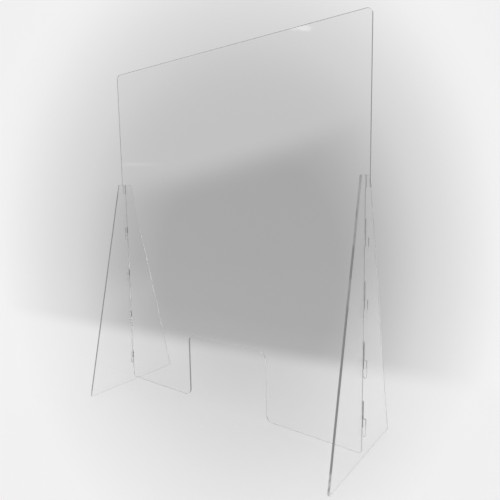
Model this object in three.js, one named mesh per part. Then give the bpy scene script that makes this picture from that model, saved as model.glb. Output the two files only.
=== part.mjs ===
// A free-standing clear desk screen, cut from flat acrylic sheet.
//
// One tall panel with a pass-through at its foot stands between two triangular feet. Each side of the
// panel is stepped in, and hooks stand out from the step. A hook goes through a slot in the foot and drops
// behind its outer face, so the panel's own weight holds the screen together with no screws or glue.
//
// Millimetres, +Z up. X runs along the panel, Y through it, and the desk is at Z 0.
import * as THREE from "three";

const INCH = 25.4;

// ---- Driving dimensions ----------------------------------------------------------------------------

// Sheet thickness of the panel and of the feet.
const panelSheet = (3 / 16) * INCH;
const footSheet = (3 / 16) * INCH;

// The panel: overall width, height of the sheet, and the daylight left between it and the desk.
const panelWidth = 30 * INCH;
const panelHeight = 35.2 * INCH;
const deskGap = 11;
const topCornerRadius = 0.5 * INCH;
const legCornerRadius = 0.25 * INCH;
const shoulderCornerRadius = 1.5;

// The pass-through, open at the bottom edge.
const passWidth = 10 * INCH;
const passHeight = 6.8 * INCH;
const passCornerRadius = 0.75 * INCH;

// A foot: a tall trapezium with its long side on the desk.
const footHeight = 23.4 * INCH;
const footDepth = 12 * INCH;
const footTopDepth = 1.7 * INCH;
const footCornerRadius = 3;

// How far the foot's outer face stands in from the panel's widest edge.
const footInset = (5 / 16) * INCH;

// The slots in a foot, in a column on its centre line: as many as leave a sound web under the notch.
const slotPitch = 5 * INCH;
const lowestSlotBottom = 2.75 * INCH;
const leastWeb = 1 * INCH;
const slotCornerRadius = 0.4;

// A hook: the neck that fills the slot's lower end, and the lip that hangs outside the foot.
const neckHeight = 0.75 * INCH;
const lipDrop = 0.75 * INCH;
const lipWidth = 0.25 * INCH;
const lipLeadIn = 1.6;
const lipLeadHeight = 5;
const hookToeRadius = 2.4;
const hookTopRadius = 1;
const hookRootRadius = 0.5;

// Room left in a slot's height once the whole hook has been passed through it.
const hookPassingRoom = 0.75 * INCH;

// How far the panel's full width sinks into the notch in the top of each foot.
const shoulderSink = 1 * INCH;

// Running gap between faces that slide past or rest on each other.
const clearance = 0.3;

// The most that a straight facet strays from its arc.
const facetError = 0.015;

// ---- Places worked out from them -------------------------------------------------------------------

const panelTop = deskGap + panelHeight;
const passTop = deskGap + passHeight;

// From the panel's edge inwards: the foot with the lip outside it and the stepped-in side behind it.
const footOuterFace = panelWidth / 2 - footInset;
const footCentre = footOuterFace - footSheet / 2;
const panelSide = footOuterFace - footSheet - clearance;
const lipFace = footOuterFace + clearance;
const hookTip = lipFace + lipWidth;

const shoulder = footHeight - shoulderSink;
const notchBottom = shoulder - clearance;

const slotWidth = panelSheet + 2 * clearance;
const slotHeight = neckHeight + lipDrop + hookPassingRoom;
const highestSlotBottom = notchBottom - leastWeb - slotHeight;
const slotBottoms = [];
for (let bottom = lowestSlotBottom; bottom <= highestSlotBottom; bottom += slotPitch) {
  slotBottoms.push(bottom);
}

// ---- Outlines --------------------------------------------------------------------------------------

// Draws the arc that rounds one corner of an outline, given the corners before and after it.
function roundedCorner(path, before, [x, y, radius], after) {
  const corner = new THREE.Vector2(x, y);
  const towardsBefore = new THREE.Vector2(before[0], before[1]).sub(corner).normalize();
  const towardsAfter = new THREE.Vector2(after[0], after[1]).sub(corner).normalize();
  const halfAngle = Math.acos(towardsBefore.dot(towardsAfter)) / 2;
  const turn = Math.PI - 2 * halfAngle;
  const direction = Math.sign(towardsAfter.cross(towardsBefore));
  const bisector = towardsBefore.clone().add(towardsAfter).normalize();
  const centre = corner.clone().addScaledVector(bisector, radius / Math.sin(halfAngle));
  const start = corner.clone().addScaledVector(towardsBefore, radius / Math.tan(halfAngle));
  const facetTurn = 2 * Math.acos(1 - facetError / radius);
  const facets = Math.ceil(turn / facetTurn);
  for (let facet = 0; facet <= facets; facet += 1) {
    const point = start.clone().rotateAround(centre, (direction * turn * facet) / facets);
    path.lineTo(point.x, point.y);
  }
}

// Fills a path with a closed outline. Each corner is [across, up, radius]; radius 0 leaves it sharp.
function roundedOutline(path, corners) {
  const [firstX, firstY] = corners[0];
  const [lastX, lastY] = corners.at(-1);
  path.moveTo((firstX + lastX) / 2, (firstY + lastY) / 2);
  corners.forEach((corner, i) => {
    const [x, y, radius] = corner;
    if (radius === 0) path.lineTo(x, y);
    else roundedCorner(path, corners.at(i - 1), corner, corners[(i + 1) % corners.length]);
  });
  return path;
}

// The same corners on the other side of the centre line, in the order that carries the outline on.
function mirrored(corners) {
  return corners.map(([x, y, radius]) => [-x, y, radius]).reverse();
}

// One hook on the panel's right side, from its seat on the slot's bottom up to the top of its neck.
function hookCorners(slotBottom) {
  const seat = slotBottom + clearance;
  const lipBottom = seat - lipDrop;
  const neckTop = seat + neckHeight;
  return [
    [panelSide, seat, hookRootRadius],
    [lipFace, seat, hookRootRadius],
    [lipFace, lipBottom + lipLeadHeight, 0],
    [lipFace + lipLeadIn, lipBottom, hookRootRadius],
    [hookTip, lipBottom, hookToeRadius],
    [hookTip, neckTop, hookTopRadius],
    [panelSide, neckTop, hookRootRadius],
  ];
}

function panelOutline() {
  const rightHalf = [
    [passWidth / 2, passTop, passCornerRadius],
    [passWidth / 2, deskGap, passCornerRadius],
    [panelSide, deskGap, legCornerRadius],
    ...slotBottoms.flatMap(hookCorners),
    [panelSide, shoulder, hookRootRadius],
    [panelWidth / 2, shoulder, shoulderCornerRadius],
    [panelWidth / 2, panelTop, topCornerRadius],
  ];
  return roundedOutline(new THREE.Shape(), [...rightHalf, ...mirrored(rightHalf)]);
}

function slotOutline(slotBottom) {
  const rightHalf = [
    [slotWidth / 2, slotBottom, slotCornerRadius],
    [slotWidth / 2, slotBottom + slotHeight, slotCornerRadius],
  ];
  return roundedOutline(new THREE.Path(), [...rightHalf, ...mirrored(rightHalf)]);
}

function footOutline() {
  const rightHalf = [
    [footDepth / 2, 0, footCornerRadius],
    [footTopDepth / 2, footHeight, footCornerRadius],
    [slotWidth / 2, footHeight, hookRootRadius],
    [slotWidth / 2, notchBottom, slotCornerRadius],
  ];
  const outline = roundedOutline(new THREE.Shape(), [...rightHalf, ...mirrored(rightHalf)]);
  outline.holes = slotBottoms.map(slotOutline);
  return outline;
}

// ---- Pieces ----------------------------------------------------------------------------------------

const clearAcrylic = {
  color: 0xe9eeee,
  roughness: 0.05,
  metalness: 0,
  transparent: true,
  opacity: 0.35,
};

// A flat piece cut from sheet and stood upright: its outline lies in XZ, its thickness centred on Y 0.
function cutFromSheet(name, outline, thickness) {
  const geometry = new THREE.ExtrudeGeometry(outline, { depth: thickness, bevelEnabled: false });
  geometry.translate(0, 0, -thickness / 2);
  const mesh = new THREE.Mesh(geometry, new THREE.MeshStandardMaterial(clearAcrylic));
  mesh.name = name;
  mesh.rotation.x = Math.PI / 2;
  return mesh;
}

// A foot stands across the panel's end, so its outline is turned from XZ to YZ.
function standingFoot(name, centreX) {
  const foot = new THREE.Group();
  foot.add(cutFromSheet(name, footOutline(), footSheet));
  foot.rotation.z = Math.PI / 2;
  foot.position.x = centreX;
  return foot;
}

const screen = new THREE.Group();
screen.add(cutFromSheet("panel", panelOutline(), panelSheet));
screen.add(standingFoot("left_foot", -footCentre));
screen.add(standingFoot("right_foot", footCentre));

export default screen;
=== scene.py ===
# A free-standing clear desk screen, hooked together from three laser-cut pieces of acrylic sheet.
# The sections follow its assembly: the two feet, the panel that hooks into them, then the desk,
# the light and the camera.
import math

import bpy
from mathutils import Matrix, Vector


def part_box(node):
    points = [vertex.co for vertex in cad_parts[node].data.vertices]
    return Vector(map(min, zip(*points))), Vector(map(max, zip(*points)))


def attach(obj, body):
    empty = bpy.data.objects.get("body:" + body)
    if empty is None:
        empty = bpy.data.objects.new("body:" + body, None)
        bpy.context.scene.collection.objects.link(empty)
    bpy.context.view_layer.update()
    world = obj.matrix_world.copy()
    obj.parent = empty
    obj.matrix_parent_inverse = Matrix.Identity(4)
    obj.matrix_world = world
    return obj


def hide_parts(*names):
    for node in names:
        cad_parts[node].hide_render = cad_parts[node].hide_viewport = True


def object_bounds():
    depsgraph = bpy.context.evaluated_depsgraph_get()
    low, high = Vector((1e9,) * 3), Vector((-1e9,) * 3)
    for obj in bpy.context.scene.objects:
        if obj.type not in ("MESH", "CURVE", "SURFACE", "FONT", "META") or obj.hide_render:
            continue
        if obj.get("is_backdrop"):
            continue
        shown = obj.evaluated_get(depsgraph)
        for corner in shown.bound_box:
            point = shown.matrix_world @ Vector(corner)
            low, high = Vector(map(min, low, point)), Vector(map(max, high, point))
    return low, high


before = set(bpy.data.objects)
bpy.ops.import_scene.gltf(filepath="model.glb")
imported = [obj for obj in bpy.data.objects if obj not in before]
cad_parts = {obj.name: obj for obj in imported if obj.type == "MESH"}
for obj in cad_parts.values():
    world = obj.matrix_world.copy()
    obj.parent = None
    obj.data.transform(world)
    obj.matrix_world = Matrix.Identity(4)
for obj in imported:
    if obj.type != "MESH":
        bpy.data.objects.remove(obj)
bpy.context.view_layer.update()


# ---- Feet -------------------------------------------------------------------------------------------
# Two tall trapezium end plates, laser-cut from 3/16 in clear cast acrylic. A column of slots takes the
# panel's hooks, and the panel's shoulder drops into the open notch at the top. Nothing else holds them:
# the faces keep the sheet's factory polish and the edges are as the laser left them.

INCH = 0.0254
SHEET = 3 / 16 * INCH
CLEARANCE = 0.0003
ARRIS = 0.0002

FOOT_HALF_DEPTH = 6 * INCH
FOOT_TOP_DEPTH = 1.7 * INCH
FOOT_CORNER_RADIUS = 0.003
NOTCH_DEPTH = 1.0 * INCH + CLEARANCE
SLOT_WIDTH = SHEET + 2 * CLEARANCE
SLOT_HEIGHT = 2.25 * INCH
SLOT_PITCH = 5 * INCH
SLOT_LEVELS = 4
SLOT_CORNER_RADIUS = 0.0004
LOWEST_SLOT = 2.75 * INCH
CREST_RADIUS = 0.0005

STEPS_PER_ROOT_METRE = 110
FEWEST_STEPS = 3
MERGING_DISTANCE = 1e-6
ARRIS_ANGLE = math.radians(60)
SHARP_ANGLE = math.radians(30)

ACRYLIC_IOR = 1.49
CUT_EDGE_INDEX = 1


def add(tree, kind, inputs=None, **settings):
    """Adds one node with its settings and links.

    inputs fills the node's inputs by name or number. A node, one of its outputs or a list of them is
    linked, and anything else is set.
    """
    node = tree.nodes.new(kind)
    for name, value in settings.items():
        setattr(node, name, value)
    for name, value in (inputs or {}).items():
        sources = value if isinstance(value, list) else [value]
        if isinstance(sources[0], (bpy.types.Node, bpy.types.NodeSocket)):
            for source in sources:
                output = source.outputs[0] if isinstance(source, bpy.types.Node) else source
                tree.links.new(output, node.inputs[name])
        else:
            node.inputs[name].default_value = value
    return node


def new_tree(name, inputs):
    """A Geometry Nodes tree with named inputs, and the sockets that give them inside it."""
    tree = bpy.data.node_groups.new(name, "GeometryNodeTree")
    tree.interface.new_socket("Corners", in_out="INPUT", socket_type="NodeSocketGeometry")
    for label, kind in inputs.items():
        tree.interface.new_socket(label, in_out="INPUT", socket_type=kind)
    tree.interface.new_socket("Piece", in_out="OUTPUT", socket_type="NodeSocketGeometry")
    return tree, add(tree, "NodeGroupInput").outputs


def closed_outline(tree, corners, last_turn):
    """Corner points of the right half and their mirror image, as one closed outline with round corners."""
    mirrored = add(tree, "GeometryNodeTransform", {"Geometry": corners, "Scale": (-1, 1, 1)})
    turn = add(tree, "GeometryNodeInputNamedAttribute", {"Name": "turn"}, data_type="FLOAT")
    returning = add(tree, "ShaderNodeMath", {0: last_turn, 1: turn}, operation="SUBTRACT")
    mirrored = add(
        tree, "GeometryNodeStoreNamedAttribute",
        {"Geometry": mirrored, "Name": "turn", "Value": returning}, data_type="FLOAT", domain="POINT",
    )
    both = add(tree, "GeometryNodeJoinGeometry", {0: [corners, mirrored]})
    outline = add(tree, "GeometryNodePointsToCurves", {"Points": both, "Weight": turn})
    outline = add(tree, "GeometryNodeSetSplineCyclic", {0: outline, "Cyclic": True})
    radius = add(tree, "GeometryNodeInputNamedAttribute", {"Name": "corner_radius"}, data_type="FLOAT")
    return rounded(tree, outline, radius)


def rounded(tree, outline, radius):
    """Rounds every corner of an outline, with more steps on the larger ones."""
    root = add(tree, "ShaderNodeMath", {0: radius}, operation="SQRT")
    steps = add(
        tree, "ShaderNodeMath", {0: root, 1: STEPS_PER_ROOT_METRE, 2: FEWEST_STEPS},
        operation="MULTIPLY_ADD",
    )
    return add(
        tree, "GeometryNodeFilletCurve", {"Curve": outline, "Radius": radius, "Count": steps}, mode="POLY"
    )


def cut_sheet(tree, outlines, given, turned, place):
    """Fills the outlines, gives the sheet its thickness, stands it up and lays on its two finishes."""
    face = add(tree, "GeometryNodeFillCurve", {0: outlines}, mode="NGONS")
    raised = add(
        tree, "GeometryNodeExtrudeMesh",
        {"Mesh": face, "Offset Scale": given["Thickness"], "Individual": False}, mode="FACES",
    )
    walls = add(
        tree, "GeometryNodeStoreNamedAttribute",
        {"Geometry": raised, "Name": "cut_edge", "Value": raised.outputs["Side"]},
        data_type="BOOLEAN", domain="FACE",
    )
    under = add(tree, "GeometryNodeFlipFaces", {0: face})
    whole = add(tree, "GeometryNodeJoinGeometry", {0: [walls, under]})
    closed = add(tree, "GeometryNodeMergeByDistance", {0: whole, "Distance": MERGING_DISTANCE})
    half = add(tree, "ShaderNodeMath", {0: given["Thickness"], 1: -0.5}, operation="MULTIPLY")
    centre = add(tree, "ShaderNodeCombineXYZ", {"Z": half})
    centred = add(tree, "GeometryNodeTransform", {"Geometry": closed, "Translation": centre})
    standing = add(
        tree, "GeometryNodeTransform", {"Geometry": centred, "Rotation": turned, "Translation": place}
    )
    real = add(tree, "GeometryNodeRealizeInstances", {0: standing})
    faced = add(tree, "GeometryNodeSetMaterial", {"Geometry": real, "Material": given["Face"]})
    cut = add(tree, "GeometryNodeInputNamedAttribute", {"Name": "cut_edge"}, data_type="BOOLEAN")
    edged = add(
        tree, "GeometryNodeSetMaterial",
        {"Geometry": faced, "Selection": cut, "Material": given["Cut edge"]},
    )
    add(tree, "NodeGroupOutput", {0: edged})


def corner_points(name, corners):
    """The corners of the right half of an outline: where each is, its radius and its turn in order."""
    mesh = bpy.data.meshes.new(name)
    mesh.from_pydata([(x, y, 0) for x, y, _ in corners], [], [])
    radius = mesh.attributes.new("corner_radius", "FLOAT", "POINT")
    turn = mesh.attributes.new("turn", "FLOAT", "POINT")
    for i, (_, _, r) in enumerate(corners):
        radius.data[i].value = r
        turn.data[i].value = i
    piece = bpy.data.objects.new(name, mesh)
    bpy.context.scene.collection.objects.link(piece)
    return piece


def finished(piece, tree, inputs):
    """Runs the tree on a piece's corners, breaks its sharp arrises and leaves one plain mesh."""
    cutting = piece.modifiers.new("cutting", "NODES")
    cutting.node_group = tree
    for socket in tree.interface.items_tree:
        if socket.name in inputs:
            cutting[socket.identifier] = inputs[socket.name]
    scraping = piece.modifiers.new("scraping", "BEVEL")
    scraping.width = ARRIS
    scraping.segments = 1
    scraping.limit_method = "ANGLE"
    scraping.angle_limit = ARRIS_ANGLE
    scraping.use_clamp_overlap = False
    scraping.material = CUT_EDGE_INDEX
    graph = bpy.context.evaluated_depsgraph_get()
    mesh = bpy.data.meshes.new_from_object(piece.evaluated_get(graph))
    piece.modifiers.clear()
    piece.data = mesh
    mesh.name = piece.name
    mesh.shade_smooth()
    mesh.set_sharp_from_angle(angle=SHARP_ANGLE)
    return piece


def linear(hex_colour):
    """An sRGB hex colour as linear red, green, blue and 1."""
    channels = [int(hex_colour[i:i + 2], 16) / 255 for i in (1, 3, 5)]
    return [c / 12.92 if c <= 0.04045 else ((c + 0.055) / 1.055) ** 2.4 for c in channels] + [1.0]


def clear_sheet(name, tint, shade, clear, roughness, bump):
    """Acrylic that bends light and lets lamps through. roughness and bump give their own nodes."""
    material = bpy.data.materials.new(name)
    material.use_nodes = True
    tree = material.node_tree
    tree.nodes.clear()
    coordinates = add(tree, "ShaderNodeTexCoord").outputs["Object"]
    acrylic = add(
        tree, "ShaderNodeBsdfPrincipled",
        {
            "Base Color": linear(tint),
            "IOR": ACRYLIC_IOR,
            "Transmission Weight": clear,
            "Roughness": roughness(tree, coordinates),
            "Normal": bump(tree, coordinates),
        },
    )
    open_to_lamps = add(tree, "ShaderNodeBsdfTransparent", {"Color": linear(shade)})
    to_lamp = add(tree, "ShaderNodeLightPath").outputs["Is Shadow Ray"]
    either = add(tree, "ShaderNodeMixShader", {0: to_lamp, 1: acrylic, 2: open_to_lamps})
    add(tree, "ShaderNodeOutputMaterial", {"Surface": either})
    return material


def per_metre(size_mm):
    """Texture scale for a pattern whose features are size_mm across."""
    return 1000 / size_mm


WIPED_PATCH_MM = 70
WIPED_ROUGHNESS = 0.004
SWELL_MM = 160
SWELL_STRENGTH = 0.25
SWELL_DEPTH = 0.0003
STRIPE_MM = 1.5
STRIPE_STRENGTH = 0.3
STRIPE_DEPTH = 0.00001
DULL_PATCH_MM = 6
CUT_ROUGHNESS = (0.06, 0.16)


def handled(tree, coordinates):
    """Roughness of a polished face: almost a mirror, a little dulled in cloudy patches by wiping."""
    clouds = add(
        tree, "ShaderNodeTexNoise",
        {"Vector": coordinates, "Scale": per_metre(WIPED_PATCH_MM), "Detail": 3.0},
    )
    return add(
        tree, "ShaderNodeMapRange",
        {"Value": clouds, "From Min": 0.35, "From Max": 0.75, "To Min": 0.0, "To Max": WIPED_ROUGHNESS},
    )


def cast_waviness(tree, coordinates):
    """Bump of a cast sheet, which swells and thins a little over a hand's width."""
    swell = add(
        tree, "ShaderNodeTexNoise",
        {"Vector": coordinates, "Scale": per_metre(SWELL_MM), "Detail": 1.0},
    )
    return add(
        tree, "ShaderNodeBump", {"Height": swell, "Strength": SWELL_STRENGTH, "Distance": SWELL_DEPTH}
    )


def laser_cut(across):
    """Roughness and bump of a laser-cut edge, whose fine stripes run through the sheet's thickness.

    across is the sheet's thickness direction, along which the stripes don't change. Real stripes are
    0.1 to 0.2 mm apart, and these are 1.5 mm so that they show.
    """
    flattened = [0.0 if axis == across else 1.0 for axis in "XYZ"]

    def stripes(tree, coordinates, size_mm):
        along = add(tree, "ShaderNodeMapping", {"Vector": coordinates, "Scale": flattened})
        return add(
            tree, "ShaderNodeTexNoise", {"Vector": along, "Scale": per_metre(size_mm), "Detail": 2.0}
        )

    def roughness(tree, coordinates):
        dull = stripes(tree, coordinates, DULL_PATCH_MM)
        return add(
            tree, "ShaderNodeMapRange",
            {"Value": dull, "To Min": CUT_ROUGHNESS[0], "To Max": CUT_ROUGHNESS[1]},
        )

    def bump(tree, coordinates):
        grooves = stripes(tree, coordinates, STRIPE_MM)
        return add(
            tree, "ShaderNodeBump",
            {"Height": grooves, "Strength": STRIPE_STRENGTH, "Distance": STRIPE_DEPTH},
        )

    return roughness, bump


# Cast acrylic sheet with its factory polish: water-clear and mirror-smooth, seen only by its reflections
# and by the slight dimming of what lies behind it.
polished_acrylic = clear_sheet("clear_acrylic_polished", "#fcfcfc", "#f5f5f5", 1.0, handled, cast_waviness)

# The same sheet where the laser cut it on the feet: half clear and half frosted by fine stripes, and tinted
# a darker grey than the panel's cut edge as painted shade, so that an edge shows as a thin grey line.
foot_edge_frosted_and_painted_shade = clear_sheet("acrylic_laser_cut_foot_painted_shade", "#d3d4d4", "#8e8f8f", 0.5, *laser_cut("X"))

foot_tree, given = new_tree(
    "slotted_foot",
    {
        "Thickness": "NodeSocketFloat",
        "Slot width": "NodeSocketFloat",
        "Slot height": "NodeSocketFloat",
        "Slot corner": "NodeSocketFloat",
        "Lowest slot": "NodeSocketFloat",
        "Slot pitch": "NodeSocketFloat",
        "Slots": "NodeSocketInt",
        "Place": "NodeSocketVector",
        "Face": "NodeSocketMaterial",
        "Cut edge": "NodeSocketMaterial",
    },
)
foot_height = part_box("right_foot")[1][2]
foot_corners = [
    (FOOT_HALF_DEPTH, 0, FOOT_CORNER_RADIUS),
    (FOOT_TOP_DEPTH / 2, foot_height, FOOT_CORNER_RADIUS),
    (SLOT_WIDTH / 2, foot_height, CREST_RADIUS),
    (SLOT_WIDTH / 2, foot_height - NOTCH_DEPTH, SLOT_CORNER_RADIUS),
]
points = add(foot_tree, "GeometryNodeMeshToPoints", {0: given["Corners"]})
edge = closed_outline(foot_tree, points, 2.0 * len(foot_corners) - 1)
slot = add(
    foot_tree, "GeometryNodeCurvePrimitiveQuadrilateral",
    {"Width": given["Slot width"], "Height": given["Slot height"]},
)
slot = rounded(foot_tree, slot, given["Slot corner"])
middle = add(
    foot_tree, "ShaderNodeMath", {0: given["Slot height"], 1: 0.5, 2: given["Lowest slot"]},
    operation="MULTIPLY_ADD",
)
lowest = add(foot_tree, "ShaderNodeCombineXYZ", {"Y": middle})
pitch = add(foot_tree, "ShaderNodeCombineXYZ", {"Y": given["Slot pitch"]})
column = add(
    foot_tree, "GeometryNodeMeshLine",
    {"Count": given["Slots"], "Start Location": lowest, "Offset": pitch},
)
slots = add(foot_tree, "GeometryNodeInstanceOnPoints", {"Points": column, "Instance": slot})
slots = add(foot_tree, "GeometryNodeRealizeInstances", {0: slots})
outlines = add(foot_tree, "GeometryNodeJoinGeometry", {0: [edge, slots]})
cut_sheet(foot_tree, outlines, given, (math.pi / 2, 0, math.pi / 2), given["Place"])

for name in ("right_foot", "left_foot"):
    low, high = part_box(name)
    foot = finished(
        corner_points(f"{name}_clear", foot_corners), foot_tree,
        {
            "Thickness": SHEET,
            "Slot width": SLOT_WIDTH,
            "Slot height": SLOT_HEIGHT,
            "Slot corner": SLOT_CORNER_RADIUS,
            "Lowest slot": LOWEST_SLOT,
            "Slot pitch": SLOT_PITCH,
            "Slots": SLOT_LEVELS,
            "Place": ((low[0] + high[0]) / 2, 0.0, 0.0),
            "Face": polished_acrylic,
            "Cut edge": foot_edge_frosted_and_painted_shade,
        },
    )
    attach(foot, name)
    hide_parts(name)


# ---- Panel ------------------------------------------------------------------------------------------
# One tall sheet of the same acrylic, with a pass-through at its foot. Below the shoulder its sides step
# in between the feet, and four hooks on each side reach through the slots and hang behind them, so its
# own weight locks the screen together. It lifts straight up to come apart.

NECK_HEIGHT = 0.75 * INCH
LIP_DROP = 0.75 * INCH
LIP_WIDTH = 0.25 * INCH
LIP_LEAD_IN = 0.0016
LIP_LEAD_HEIGHT = 0.005
HOOK_TOE_RADIUS = 0.0024
HOOK_TOP_RADIUS = 0.001
HOOK_ROOT_RADIUS = 0.0005
SHOULDER_RADIUS = 0.0015
LEG_RADIUS = 0.25 * INCH
TOP_RADIUS = 0.5 * INCH
PASS_HALF_WIDTH = 5 * INCH
PASS_HEIGHT = 6.8 * INCH
PASS_RADIUS = 0.75 * INCH

# The panel's laser-cut edge is a little clearer than the feet's and lacks their painted shade, so its
# outline shows as a thinner, fainter grey line than theirs.
panel_edge = clear_sheet("acrylic_laser_cut_panel", "#f4f5f5", "#8e8f8f", 0.55, *laser_cut("Y"))

foot_low, foot_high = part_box("right_foot")
panel_low, panel_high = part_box("panel")
panel_side = foot_low[0] - CLEARANCE
lip_face = foot_high[0] + CLEARANCE
hook_tip = lip_face + LIP_WIDTH
seat = LOWEST_SLOT + CLEARANCE
shoulder = foot_height - NOTCH_DEPTH + CLEARANCE
pass_top = panel_low[2] + PASS_HEIGHT

below_hooks = [
    (PASS_HALF_WIDTH, pass_top, PASS_RADIUS),
    (PASS_HALF_WIDTH, panel_low[2], PASS_RADIUS),
    (panel_side, panel_low[2], LEG_RADIUS),
]
hook_corners = [
    (panel_side, seat, HOOK_ROOT_RADIUS),
    (lip_face, seat, HOOK_ROOT_RADIUS),
    (lip_face, seat - LIP_DROP + LIP_LEAD_HEIGHT, HOOK_ROOT_RADIUS),
    (lip_face + LIP_LEAD_IN, seat - LIP_DROP, HOOK_ROOT_RADIUS),
    (hook_tip, seat - LIP_DROP, HOOK_TOE_RADIUS),
    (hook_tip, seat + NECK_HEIGHT, HOOK_TOP_RADIUS),
    (panel_side, seat + NECK_HEIGHT, HOOK_ROOT_RADIUS),
]
above_hooks = [
    (panel_side, shoulder, HOOK_ROOT_RADIUS),
    (panel_high[0], shoulder, SHOULDER_RADIUS),
    (panel_high[0], panel_high[2], TOP_RADIUS),
]
first_hook_turn = len(below_hooks) - 0.5
last_hook_turn = first_hook_turn + len(hook_corners)
turns_in_a_half = len(below_hooks) + SLOT_LEVELS * len(hook_corners) + len(above_hooks)

panel_tree, given = new_tree(
    "hooked_panel",
    {
        "Thickness": "NodeSocketFloat",
        "Hook pitch": "NodeSocketFloat",
        "Hooks": "NodeSocketInt",
        "Face": "NodeSocketMaterial",
        "Cut edge": "NodeSocketMaterial",
    },
)
points = add(panel_tree, "GeometryNodeMeshToPoints", {0: given["Corners"]})
turn = add(panel_tree, "GeometryNodeInputNamedAttribute", {"Name": "turn"}, data_type="FLOAT")
started = add(panel_tree, "ShaderNodeMath", {0: turn, 1: first_hook_turn}, operation="GREATER_THAN")
unended = add(panel_tree, "ShaderNodeMath", {0: turn, 1: last_hook_turn}, operation="LESS_THAN")
on_hook = add(panel_tree, "ShaderNodeMath", {0: started, 1: unended}, operation="MULTIPLY")
parted = add(
    panel_tree, "GeometryNodeSeparateGeometry", {"Geometry": points, "Selection": on_hook}, domain="POINT"
)

# Each hook is a copy of the lowest one, and its corners take their turns after those of the hook below.
pitch = add(panel_tree, "ShaderNodeCombineXYZ", {"Y": given["Hook pitch"]})
column = add(panel_tree, "GeometryNodeMeshLine", {"Count": given["Hooks"], "Offset": pitch})
hooks = add(
    panel_tree, "GeometryNodeInstanceOnPoints",
    {"Points": column, "Instance": parted.outputs["Selection"]},
)
index = add(panel_tree, "GeometryNodeInputIndex")
hooks = add(
    panel_tree, "GeometryNodeStoreNamedAttribute",
    {"Geometry": hooks, "Name": "level", "Value": index}, data_type="FLOAT", domain="INSTANCE",
)
hooks = add(panel_tree, "GeometryNodeRealizeInstances", {0: hooks})
level = add(panel_tree, "GeometryNodeInputNamedAttribute", {"Name": "level"}, data_type="FLOAT")
later = add(
    panel_tree, "ShaderNodeMath", {0: level, 1: len(hook_corners), 2: turn}, operation="MULTIPLY_ADD"
)
hooks = add(
    panel_tree, "GeometryNodeStoreNamedAttribute",
    {"Geometry": hooks, "Name": "turn", "Value": later}, data_type="FLOAT", domain="POINT",
)

# The corners above the hooks wait until all of the hooks' corners have had their turns.
above = add(panel_tree, "ShaderNodeMath", {0: 1.0, 1: unended}, operation="SUBTRACT")
copies = add(panel_tree, "ShaderNodeMath", {0: given["Hooks"], 1: 1.0}, operation="SUBTRACT")
added = add(panel_tree, "ShaderNodeMath", {0: copies, 1: len(hook_corners)}, operation="MULTIPLY")
later = add(panel_tree, "ShaderNodeMath", {0: above, 1: added, 2: turn}, operation="MULTIPLY_ADD")
rest = add(
    panel_tree, "GeometryNodeStoreNamedAttribute",
    {"Geometry": parted.outputs["Inverted"], "Name": "turn", "Value": later},
    data_type="FLOAT", domain="POINT",
)
half = add(panel_tree, "GeometryNodeJoinGeometry", {0: [hooks, rest]})
edge = closed_outline(panel_tree, half, 2.0 * turns_in_a_half - 1)
cut_sheet(panel_tree, edge, given, (math.pi / 2, 0, 0), (0, 0, 0))

panel = finished(
    corner_points("panel_clear", below_hooks + hook_corners + above_hooks), panel_tree,
    {
        "Thickness": SHEET,
        "Hook pitch": SLOT_PITCH,
        "Hooks": SLOT_LEVELS,
        "Face": polished_acrylic,
        "Cut edge": panel_edge,
    },
)
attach(panel, "panel")
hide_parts("panel")


# ---- Desk and backdrop ------------------------------------------------------------------------------
# A pale matt desk top that sweeps up all round into a backdrop. Its tones are painted light and shade:
# a soft painted grey shade behind the screen that is painted lighter towards the sweep's sides and top.
# Neither is part of the screen.

SWEEP_RINGS = (0.5, 1.0, 1.5, 2.0)
SWEEP_FLAT = 2.6
SWEEP_BEND = 1.2
SWEEP_BEND_STEPS = 12
SWEEP_TOP = 4.5
SWEEP_STEPS = 96

# The tones of painted light and shade are laid out by their direction from one fixed point in the room,
# which is also where the camera is set up. The paint reads Object coordinates, so it stays where it is when
# the view moves.
SHADE_FROM = (0.7272, -0.8584, 0.5556)
SQUAT = (1, 1, 0.75)
PAINTED_SHADE_CENTRE = Vector((-0.594, 0.795, -0.1226)).normalized()

# Each tone of painted light and shade stands at an angle, in degrees, away from the darkest painted shade.
WALL_PAINTED_LIGHT_AND_SHADE = [
    (0, "#adadad"), (11, "#aeaeae"), (14, "#b8b8b8"), (16.5, "#c4c4c4"), (18.3, "#cecece"), (21, "#dcdcdc"),
    (24, "#e6e6e6"), (29, "#f9f9f9"), (31, "#fcfcfc"), (36, "#fafafa"), (57, "#a8a8a8"), (80, "#9c9c9c"),
    (105, "#a0a0a0"), (180, "#a8a8a8"),
]
DESK_PAINTED_LIGHT_AND_SHADE = [
    (0, "#d1d1d1"), (9, "#d2d2d2"), (20, "#ebebeb"), (28, "#f8f8f8"), (36, "#f8f8f8"), (50, "#d4d4d4"),
    (180, "#c8c8c8"),
]

# The wall is painted lighter above a soft slanting line. The desk's painted tones give way to the wall's
# across another one behind the screen, and all the way round where the sweep bends up.
LIGHTER_SIDE = (-0.16, -0.12, 1)
LIGHTER_RISE = (0.0, 0.09)
LIGHTER_TONES = (0.3, 0.61)
TONE_BLEND = 0.2
FAR_EDGE_SLOPE = 0.152
FAR_EDGE = (0.34, 0.56)
BEND_FADE = 1.2

# The share of each tone that the paint gives off by itself, and the share that it shows by lamplight.
GLOW = 0.72
PAINT = 0.3

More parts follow.
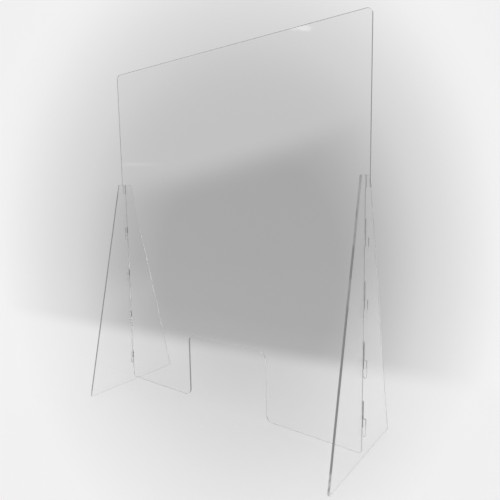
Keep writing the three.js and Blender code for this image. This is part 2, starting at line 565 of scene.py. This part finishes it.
profile = [(r, 0.0) for r in SWEEP_RINGS]
for step in range(SWEEP_BEND_STEPS + 1):
    angle = math.pi / 2 * step / SWEEP_BEND_STEPS
    profile.append((SWEEP_FLAT + SWEEP_BEND * math.sin(angle), SWEEP_BEND * (1 - math.cos(angle))))
profile.append((SWEEP_FLAT + SWEEP_BEND, SWEEP_TOP))
vertices = [(0.0, 0.0, 0.0)]
faces = []
for ring, (r, z) in enumerate(profile):
    for i in range(SWEEP_STEPS):
        angle = 2 * math.pi * i / SWEEP_STEPS
        vertices.append((r * math.cos(angle), r * math.sin(angle), z))
        here = 1 + ring * SWEEP_STEPS + i
        beside = 1 + ring * SWEEP_STEPS + (i + 1) % SWEEP_STEPS
        if ring == 0:
            faces.append((0, here, beside))
        else:
            faces.append((here - SWEEP_STEPS, here, beside, beside - SWEEP_STEPS))
mesh = bpy.data.meshes.new("sweep")
mesh.from_pydata(vertices, [], faces)
mesh.shade_smooth()
sweep = bpy.data.objects.new("sweep", mesh)
bpy.context.scene.collection.objects.link(sweep)
sweep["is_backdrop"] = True

# Matt paint that carries the painted light and shade and also glows by itself, so that it shows no gloss,
# only soft painted tones that hardly depend on the lamps.
paint = bpy.data.materials.new("backdrop_painted_light_and_shade")
paint.use_nodes = True
tree = paint.node_tree
tree.nodes.clear()
place = add(tree, "ShaderNodeTexCoord").outputs["Object"]
# Painted shade: each point's tone follows its direction from SHADE_FROM, darkest towards the painted
# shade's centre.
away = add(tree, "ShaderNodeVectorMath", {0: place, 1: SHADE_FROM}, operation="SUBTRACT")
away = add(tree, "ShaderNodeVectorMath", {0: away, 1: SQUAT}, operation="MULTIPLY")
away = add(tree, "ShaderNodeVectorMath", {0: away}, operation="NORMALIZE")
off = add(tree, "ShaderNodeVectorMath", {0: away, 1: PAINTED_SHADE_CENTRE}, operation="DOT_PRODUCT")
turned = add(tree, "ShaderNodeMath", {0: off.outputs["Value"]}, operation="ARCCOSINE")
half_turns = add(tree, "ShaderNodeMath", {0: turned, 1: math.pi}, operation="DIVIDE")
ramps = []
for stops in (WALL_PAINTED_LIGHT_AND_SHADE, DESK_PAINTED_LIGHT_AND_SHADE):
    ramp = add(tree, "ShaderNodeValToRGB", {0: half_turns})
    marks = ramp.color_ramp.elements
    for mark, (angle, tone) in ((marks[0], stops[0]), (marks[1], stops[-1])):
        mark.position = angle / 180
        mark.color = linear(tone)
    for angle, tone in stops[1:-1]:
        marks.new(angle / 180).color = linear(tone)
    ramps.append(ramp)
wall_painted_shade, desk_painted_shade = ramps

spot = add(tree, "ShaderNodeSeparateXYZ", {0: place})
depth = add(
    tree, "ShaderNodeMath", {0: spot.outputs["X"], 1: -FAR_EDGE_SLOPE, 2: spot.outputs["Y"]},
    operation="MULTIPLY_ADD",
)
beyond = add(
    tree, "ShaderNodeMapRange", {"Value": depth, "From Min": FAR_EDGE[0], "From Max": FAR_EDGE[1]},
    interpolation_type="SMOOTHSTEP",
)
aloft = add(
    tree, "ShaderNodeMapRange", {"Value": spot.outputs["Z"], "From Max": BEND_FADE},
    interpolation_type="SMOOTHSTEP",
)
off_desk = add(tree, "ShaderNodeMath", {0: beyond, 1: aloft}, operation="MAXIMUM")
rise = add(tree, "ShaderNodeVectorMath", {0: away, 1: LIGHTER_SIDE}, operation="DOT_PRODUCT")
lighter = add(
    tree, "ShaderNodeMapRange",
    {
        "Value": rise.outputs["Value"],
        "From Min": LIGHTER_RISE[0],
        "From Max": LIGHTER_RISE[1],
        "To Min": LIGHTER_TONES[0],
        "To Max": LIGHTER_TONES[1],
    },
    interpolation_type="SMOOTHSTEP",
)
wall = add(
    tree, "ShaderNodeMath", {0: wall_painted_shade, 1: lighter, 2: TONE_BLEND}, operation="SMOOTH_MAX"
)
tone = add(
    tree, "ShaderNodeMix", {0: off_desk, 6: desk_painted_shade, 7: wall}, data_type="RGBA"
).outputs[2]
glow = add(tree, "ShaderNodeEmission", {"Color": tone, "Strength": GLOW})
darker = add(tree, "ShaderNodeVectorMath", {0: tone, "Scale": PAINT}, operation="SCALE")
matt = add(tree, "ShaderNodeBsdfDiffuse", {"Color": darker})
both = add(tree, "ShaderNodeAddShader", {0: glow, 1: matt})
add(tree, "ShaderNodeOutputMaterial", {"Surface": both})
mesh.materials.append(paint)


# ---- Light ------------------------------------------------------------------------------------------
# Soft studio light: an even dome, one large softbox high on the left, a small twin ceiling lamp whose
# reflection shows near the panel's top edge, and a faint strip that shows beside the left foot's top.

DOME_TONE = (0.85, 0.85, 0.85, 1)
DOME_STRENGTH = 0.9

world = bpy.data.worlds.new("dome")
bpy.context.scene.world = world
world.use_nodes = True
world.node_tree.nodes["Background"].inputs["Color"].default_value = DOME_TONE
world.node_tree.nodes["Background"].inputs["Strength"].default_value = DOME_STRENGTH


def lamp(name, at, towards, width, height, radiance, soft=False):
    """An area lamp of a given brightness, unseen by the camera itself. A soft one fades to its rim."""
    data = bpy.data.lights.new(name, "AREA")
    data.shape = "RECTANGLE"
    data.size = width
    data.size_y = height
    data.energy = radiance * math.pi * width * height
    if soft:
        data.use_nodes = True
        tree = data.node_tree
        tree.nodes.clear()
        across = add(tree, "ShaderNodeNewGeometry").outputs["Parametric"]
        across = add(tree, "ShaderNodeVectorMath", {0: across, 1: (1, 1, 0)}, operation="MULTIPLY")
        out = add(tree, "ShaderNodeVectorMath", {0: across, 1: (0.5, 0.5, 0)}, operation="DISTANCE")
        fade = add(
            tree, "ShaderNodeMapRange",
            {"Value": out.outputs["Value"], "From Max": 0.5, "To Min": 1.0, "To Max": 0.0},
            interpolation_type="SMOOTHSTEP",
        )
        given_off = add(tree, "ShaderNodeEmission", {"Strength": fade})
        add(tree, "ShaderNodeOutputLight", {"Surface": given_off})
    aim = (Vector(towards) - Vector(at)).to_track_quat("-Z", "Y").to_matrix().to_4x4()
    lit = bpy.data.objects.new(name, data)
    lit.matrix_world = Matrix.Translation(at) @ aim
    lit.visible_camera = False
    bpy.context.scene.collection.objects.link(lit)


near_top_edge = (0.24, 0, 0.89)
near_left_foot = (-0.315, 0, 0.6535)
lamp("softbox", (-1.2, -0.6, 2.6), (0, 0, 0.3), width=1.6, height=1.2, radiance=1.2)
lamp(
    "ceiling_lamp_left", (-0.995, -2.038, 1.731), near_top_edge,
    width=0.18, height=0.06, radiance=1.5, soft=True,
)
lamp(
    "ceiling_lamp_right", (-0.926, -2.047, 1.710), near_top_edge,
    width=0.13, height=0.06, radiance=1.5, soft=True,
)
lamp(
    "window_strip", (-2.01, -1.395, 0.806), near_left_foot,
    width=0.50, height=0.045, radiance=0.45, soft=True,
)


# ---- Camera -----------------------------------------------------------------------------------------
# Standing to the right in front of the screen, at about half its height, looking across the panel and
# slightly down.

STAND = (0.7272, -0.8584, 0.5556)
YAW = math.radians(36.76)
PITCH = math.radians(6.83)
ROLL = math.radians(-0.90)
LENS = 32.59
SENSOR = 36
SHIFT = (-0.001, 0.001)
NEAREST = 0.01

ahead = Vector((-math.sin(YAW) * math.cos(PITCH), math.cos(YAW) * math.cos(PITCH), -math.sin(PITCH)))
level_right = ahead.cross(Vector((0, 0, 1))).normalized()
level_up = level_right.cross(ahead)
right = level_right * math.cos(ROLL) + level_up * math.sin(ROLL)
up = level_up * math.cos(ROLL) - level_right * math.sin(ROLL)
camera = bpy.data.objects.new("camera", bpy.data.cameras.new("camera"))
camera.data.sensor_width = SENSOR
camera.data.lens = LENS
camera.data.shift_x, camera.data.shift_y = SHIFT
camera.data.clip_start = NEAREST
camera.matrix_world = Matrix((
    (right.x, up.x, -ahead.x, STAND[0]),
    (right.y, up.y, -ahead.y, STAND[1]),
    (right.z, up.z, -ahead.z, STAND[2]),
    (0, 0, 0, 1),
))
bpy.context.scene.collection.objects.link(camera)
bpy.context.scene.camera = camera
bpy.context.scene.view_settings.view_transform = "Standard"

low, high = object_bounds()
